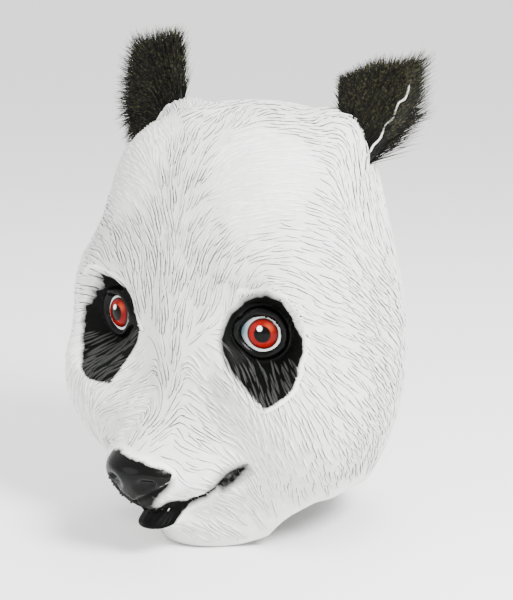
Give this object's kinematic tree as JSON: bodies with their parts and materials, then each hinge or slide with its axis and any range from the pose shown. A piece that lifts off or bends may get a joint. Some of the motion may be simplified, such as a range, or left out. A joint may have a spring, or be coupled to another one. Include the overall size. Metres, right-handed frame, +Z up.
{
  "type": "full-head panda mask",
  "caption": "Moulded latex hood in the form of a panda's head, with a muzzle, glossy domed eyes and upright faux-fur ears, worn over the whole head.",
  "frame": {"origin": "inside of the crown, where the top of the wearer's head touches", "axes": "the mask faces -Y, its own left is +X, +Z up"},
  "size_m": [0.257, 0.2699, 0.3649],
  "materials": {
    "white_latex": "moulded hair relief, white with grey wash and black sprayed patches",
    "ear_latex": "plain cut sheet",
    "eye_gloss": "clear gloss over a painted iris",
    "black_fur": "long pile faux fur with paler tips"
  },
  "bodies": {
    "root": {"mask_shell": "white_latex", "eye_left": "eye_gloss", "eye_right": "eye_gloss", "ear_lobe_left": "ear_latex", "ear_lobe_right": "ear_latex", "ear_fur_front_left": "black_fur", "ear_fur_front_right": "black_fur", "ear_fur_back_left": "black_fur", "ear_fur_back_right": "black_fur"}
  },
  "joints": []
}
